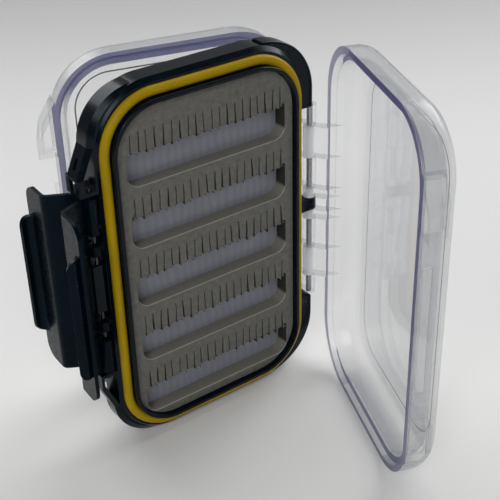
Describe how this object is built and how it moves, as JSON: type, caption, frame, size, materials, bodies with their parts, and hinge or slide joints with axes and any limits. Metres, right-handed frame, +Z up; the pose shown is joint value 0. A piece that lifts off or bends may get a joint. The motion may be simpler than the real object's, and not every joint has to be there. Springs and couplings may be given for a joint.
{
  "type": "fly box",
  "caption": "Pocket fly box: a foam-lined frame with slotted foam on both faces, a clear gasketed lid hinged over each face and a swinging latch lever for each lid.",
  "frame": {"origin": "on the floor under the middle of the frame, at the centre of the frame's bottom edge", "axes": "+Z up along the hinge pin, +X towards the hinge side, -Y towards the wide open front lid"},
  "size_m": [0.1113, 0.1193, 0.125],
  "materials": {
    "frame_plastic": "semi-gloss moulded black",
    "latch_plastic": "semi-gloss moulded black",
    "clear_plastic": "clear polished",
    "foam": "matte closed-cell foam",
    "backing": "matte pale sheet",
    "gasket": "satin yellow cord",
    "pin_steel": "blackened steel"
  },
  "bodies": {
    "body": {"body_frame": "frame_plastic", "front_backing": "backing", "rear_backing": "backing", "front_gasket": "gasket", "rear_gasket": "gasket", "front_foam": "foam", "rear_foam": "foam", "hinge_pin": "pin_steel", "front_latch_pin": "pin_steel", "rear_latch_pin": "pin_steel"},
    "front_lid_body": {"front_lid": "clear_plastic"},
    "rear_lid_body": {"rear_lid": "clear_plastic"},
    "front_latch_body": {"front_latch": "latch_plastic"},
    "rear_latch_body": {"rear_latch": "latch_plastic"}
  },
  "joints": [
    {"name": "front_lid_hinge", "type": "hinge", "parent": "body", "child": "front_lid_body", "pos_m": [0.044, 0, 0.0625], "axis": [0, 0, 1], "range_deg": [-68.1, 31.9]},
    {"name": "rear_lid_hinge", "type": "hinge", "parent": "body", "child": "rear_lid_body", "pos_m": [0.044, 0, 0.0625], "axis": [0, 0, -1], "range_deg": [-14.1, 85.9]},
    {"name": "front_latch_hinge", "type": "hinge", "parent": "body", "child": "front_latch_body", "pos_m": [-0.0398, -0.0027, 0.0625], "axis": [0, 0, -1], "range_deg": [-66.5, 25.5]},
    {"name": "rear_latch_hinge", "type": "hinge", "parent": "body", "child": "rear_latch_body", "pos_m": [-0.0398, 0.0027, 0.0625], "axis": [0, 0, 1], "range_deg": [-61, 31]}
  ]
}
